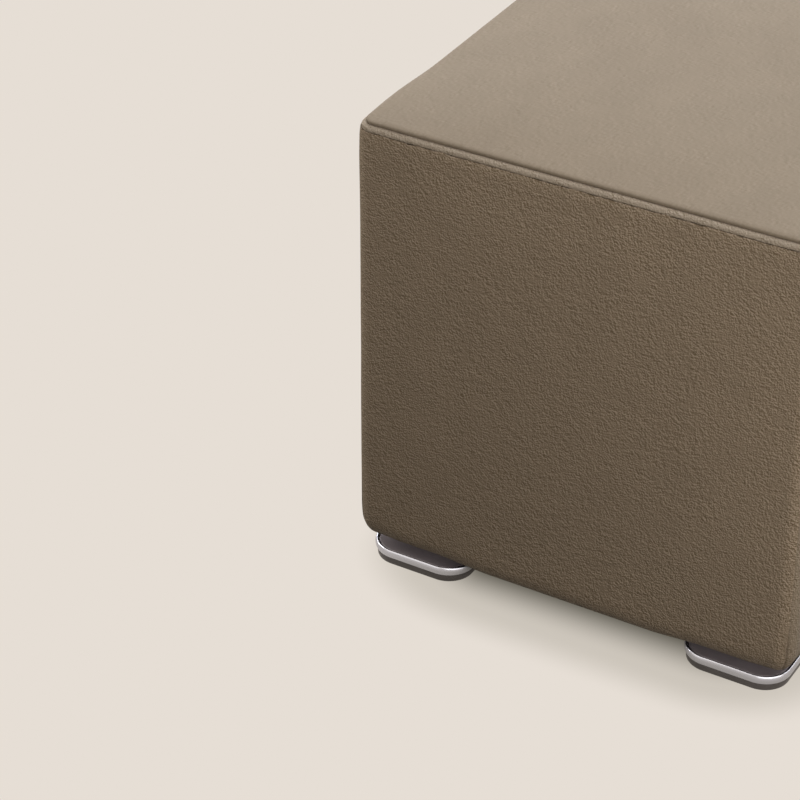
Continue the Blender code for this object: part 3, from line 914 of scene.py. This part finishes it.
behind = Vector(
    (
        math.cos(CAMERA_ELEVATION) * math.sin(CAMERA_AZIMUTH),
        -math.cos(CAMERA_ELEVATION) * math.cos(CAMERA_AZIMUTH),
        math.sin(CAMERA_ELEVATION),
    )
)
right = Vector((math.cos(CAMERA_AZIMUTH), math.sin(CAMERA_AZIMUTH), 0))
camera = bpy.data.objects.new("camera", bpy.data.cameras.new("camera"))
bpy.context.scene.collection.objects.link(camera)
facing = Matrix((right, behind.cross(right), behind)).transposed().to_4x4()
camera.matrix_world = Matrix.Translation(CAMERA_PLACE) @ facing
camera.data.sensor_width = CAMERA_SENSOR
camera.data.lens = CAMERA_LENS
camera.data.clip_end = CAMERA_REACH
bpy.context.scene.camera = camera


def floor_material():
    """An even pale glow, dimmed by the distance from a rounded box under the stool.

    The distance is the length of max(|point - middle| - half sizes, 0) times the spread, and a ramp
    turns it to a shade.
    """
    made = bpy.data.materials.new("pale floor")
    made.use_nodes = True
    tree = made.node_tree
    tree.nodes.clear()
    steps = (
        ("SUBTRACT", SHADE_MIDDLE),
        ("ABSOLUTE", None),
        ("SUBTRACT", SHADE_HALF),
        ("MAXIMUM", (0, 0, 0)),
        ("MULTIPLY", SHADE_SPREAD),
    )
    away = object_coordinates(tree)
    for operation, value in steps:
        inputs = {0: away} if value is None else {0: away, 1: value}
        away = add_node(tree, "ShaderNodeVectorMath", inputs, operation=operation).outputs[0]
    distance = add_node(tree, "ShaderNodeVectorMath", {0: away}, operation="LENGTH").outputs["Value"]
    along_ramp = add_node(tree, "ShaderNodeMath", {0: distance, 1: 1 / SHADE_REACH}, operation="MULTIPLY")
    shade = tree.nodes.new("ShaderNodeValToRGB")
    shade.color_ramp.interpolation = "EASE"
    stops = shade.color_ramp.elements
    for spare in range(len(FLOOR_SHADES) - len(stops)):
        stops.new(0.5)
    red, green, blue = FLOOR_PALE
    for stop, (distance_there, light) in zip(stops, FLOOR_SHADES):
        stop.position = distance_there / SHADE_REACH
        stop.color = (red * light, green * light, blue * light**SHADE_WARMTH, 1.0)
    tree.links.new(along_ramp.outputs[0], shade.inputs["Fac"])
    glow = add_node(tree, "ShaderNodeEmission", {"Color": shade.outputs["Color"]})
    out = add_node(tree, "ShaderNodeOutputMaterial")
    tree.links.new(glow.outputs["Emission"], out.inputs["Surface"])
    return made


floor_points = FLOOR_HALF * np.array([(-1.0, -1.0, 0.0), (1.0, -1.0, 0.0), (1.0, 1.0, 0.0), (-1.0, 1.0, 0.0)])
floor = new_piece("floor", floor_points, np.array([[0, 1, 2, 3]]), floor_material())
floor.visible_diffuse = False


# Each soft box: azimuth from the front, elevation, distance, size, watts, colour. The places were
# chosen. The watts were fitted to the photo's mean colours, and some then changed.
SOFT_BOXES = {
    "overhead right": (90, 70, 1.5, 0.9, 10.6, (0.94, 1.0, 1.10)),
    "back left": (-140, 40, 1.5, 0.9, 23.6, (0.94, 1.0, 1.10)),
    "back right": (130, 40, 1.5, 0.9, 7.0, (0.94, 1.0, 1.10)),
    "left": (-75, 15, 1.2, 0.6, 5.85, (1.0, 1.0, 1.0)),
    "front low": (30, 15, 1.5, 0.9, 5.2, (1.0, 1.0, 1.0)),
    "front left low": (-30, 10, 1.5, 0.9, 1.6, (1.0, 1.0, 1.0)),
    "front high": (0, 60, 0.8, 0.5, 1.15, (1.0, 1.0, 1.0)),
    "right low": (60, 5, 0.75, 0.5, 1.45, (1.0, 1.0, 1.0)),
}
LIGHT_AIM = Vector((0, 0, 0.22))
for name, (azimuth, elevation, distance, size, watts, colour) in SOFT_BOXES.items():
    around_z, up = math.radians(azimuth), math.radians(elevation)
    lamp = bpy.data.lights.new(name, "AREA")
    lamp.shape = "SQUARE"
    lamp.size = size
    lamp.energy = watts
    lamp.color = colour
    holder = bpy.data.objects.new(name, lamp)
    bpy.context.scene.collection.objects.link(holder)
    level_part = math.cos(up)
    direction = Vector((level_part * math.sin(around_z), -level_part * math.cos(around_z), math.sin(up)))
    holder.location = LIGHT_AIM + distance * direction
    holder.rotation_euler = direction.to_track_quat("Z", "Y").to_euler()

world = bpy.data.worlds.new("studio")
bpy.context.scene.world = world
world.use_nodes = True
sky = world.node_tree
sky.nodes.clear()
# The room's own glow shows only to the camera, as plain as the floor, and in mirrored light
path = sky.nodes.new("ShaderNodeLightPath")
towards = sky.nodes.new("ShaderNodeTexCoord")
upward_part = add_node(sky, "ShaderNodeSeparateXYZ", {0: towards.outputs["Generated"]}).outputs["Z"]
room_glow = add_node(
    sky,
    "ShaderNodeMapRange",
    {
        "Value": upward_part,
        "From Min": 0.1,
        "From Max": 0.6,
        "To Min": WALL_GLOW,
        "To Max": CEILING_GLOW,
    },
)
mirrored = add_node(
    sky,
    "ShaderNodeMath",
    {0: path.outputs["Is Glossy Ray"], 1: room_glow.outputs["Result"]},
    operation="MULTIPLY",
)
strength = add_node(
    sky,
    "ShaderNodeMath",
    {0: path.outputs["Is Camera Ray"], 1: mirrored.outputs[0]},
    operation="MAXIMUM",
)
room = add_node(sky, "ShaderNodeBackground", {"Color": (*FLOOR_PALE, 1.0), "Strength": strength.outputs[0]})
world_out = add_node(sky, "ShaderNodeOutputWorld")
sky.links.new(room.outputs[0], world_out.inputs["Surface"])

bpy.context.scene.view_settings.view_transform = "Standard"
